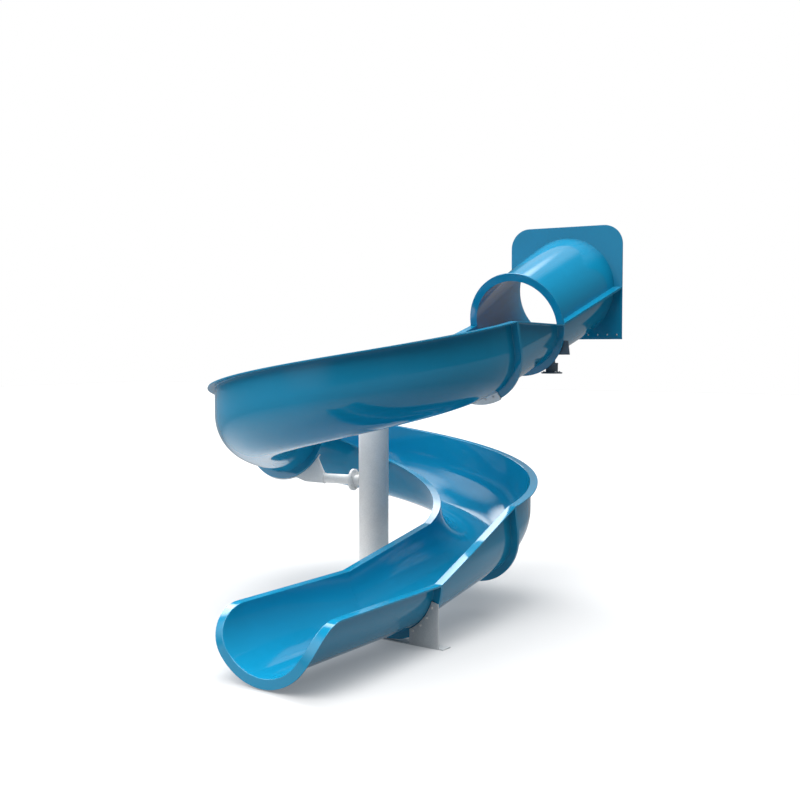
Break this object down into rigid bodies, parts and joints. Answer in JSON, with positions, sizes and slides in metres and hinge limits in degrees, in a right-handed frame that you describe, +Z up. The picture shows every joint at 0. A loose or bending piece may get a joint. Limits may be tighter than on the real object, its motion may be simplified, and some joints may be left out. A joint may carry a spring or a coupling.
{
  "type": "spiral water slide",
  "caption": "Spiral water slide in glass fibre: a flared entry tube with a start plate, an open flume turning once round a steel column, and a level run-out.",
  "frame": {"origin": "centre of the underside of the column's base plate, on the column's axis", "axes": "+Z up the column; the entry tube runs along Y and the start plate's back faces +Y; the first joint after the entry lies towards +X and the run-out leaves towards -Y"},
  "size_m": [3.1415, 4.9261, 3.513],
  "materials": {
    "gelcoat": "glossy blue gelcoat on glass fibre laminate",
    "galvanised_steel": "hot-dip galvanised, dull grey with fine spangle"
  },
  "bodies": {
    "root": {"start_plate": "gelcoat", "entry_tube_upper_half": "gelcoat", "entry_tube_lower_half": "gelcoat", "upper_transition_flume": "gelcoat", "upper_curve_flume": "gelcoat", "lower_curve_flume": "gelcoat", "lower_transition_flume": "gelcoat", "runout_flume": "gelcoat", "column_base_plate": "galvanised_steel", "column_base_gusset_1": "galvanised_steel", "column_base_gusset_2": "galvanised_steel", "column_base_gusset_3": "galvanised_steel", "column_base_gusset_4": "galvanised_steel", "column_pipe": "galvanised_steel", "column_cap": "galvanised_steel", "upper_arm_stub": "galvanised_steel", "upper_arm_stub_flange": "galvanised_steel", "upper_arm_flange": "galvanised_steel", "upper_arm_pipe": "galvanised_steel", "upper_arm_end_plate": "galvanised_steel", "upper_arm_saddle": "galvanised_steel", "lower_arm_stub": "galvanised_steel", "lower_arm_stub_flange": "galvanised_steel", "lower_arm_flange": "galvanised_steel", "lower_arm_pipe": "galvanised_steel", "lower_arm_end_plate": "galvanised_steel", "lower_arm_saddle": "galvanised_steel", "entry_saddle_left": "galvanised_steel", "entry_post_head_left": "galvanised_steel", "entry_post_left": "galvanised_steel", "entry_post_foot_left": "galvanised_steel", "entry_saddle_right": "galvanised_steel", "entry_post_head_right": "galvanised_steel", "entry_post_right": "galvanised_steel", "entry_post_foot_right": "galvanised_steel", "ground_saddle_base": "galvanised_steel", "ground_saddle_left": "galvanised_steel", "ground_saddle_right": "galvanised_steel"}
  },
  "joints": []
}
